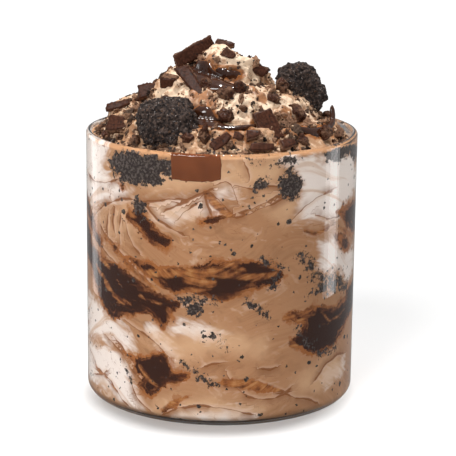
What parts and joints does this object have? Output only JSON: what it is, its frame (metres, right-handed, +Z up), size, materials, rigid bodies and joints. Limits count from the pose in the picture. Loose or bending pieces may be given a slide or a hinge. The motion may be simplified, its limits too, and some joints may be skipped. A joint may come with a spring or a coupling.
{
  "type": "blended ice cream dessert",
  "caption": "Chocolate ice cream blended with fudge and dark cookie, mounded above a straight glass tumbler and topped with cookie chunks, chocolate flakes and crumbs.",
  "frame": {"origin": "centre of the glass's underside, on the surface it stands on", "axes": "+Z up along the glass's axis; the side shown in the picture faces -Y; +X to the viewer's right"},
  "size_m": [0.09, 0.09, 0.1195],
  "materials": {
    "glass": "clear polished soda glass",
    "ice_cream": "soft matt milk chocolate ice cream, marbled with fudge and cream",
    "cookie": "rough near-black cookie crumb with sugar sparkle",
    "chocolate": "satin dark chocolate with paler snapped edges",
    "milk_chocolate": "smooth milk chocolate",
    "fudge": "glossy wet fudge, orange-brown where thin"
  },
  "bodies": {
    "root": {"glass": "glass", "ice_cream": "ice_cream", "cookie_chunk_left": "cookie", "cookie_chunk_right": "cookie", "cookie_behind_glass": "cookie", "cookie_behind_glass_right": "cookie", "slab_behind_glass": "milk_chocolate", "bar_peak_left": "chocolate", "bar_peak_top": "chocolate", "flake_peak_front": "chocolate", "flake_peak_right": "chocolate", "block_left": "chocolate", "splinter_left": "chocolate", "block_lower_left": "chocolate", "flake_front": "chocolate", "nub_front": "chocolate", "nub_right": "chocolate", "nub_ridge": "chocolate", "flake_rim_left": "chocolate", "block_rim_left": "chocolate", "flake_rim_front": "chocolate", "flake_rim_middle": "chocolate", "block_rim_front": "chocolate", "flake_rim_right": "chocolate", "block_rim_right": "chocolate", "flake_back_1": "chocolate", "flake_back_2": "chocolate", "flake_back_3": "chocolate", "flake_back_4": "chocolate", "flake_back_5": "chocolate", "flake_back_6": "chocolate", "flake_back_7": "chocolate", "flake_back_8": "chocolate"}
  },
  "joints": []
}
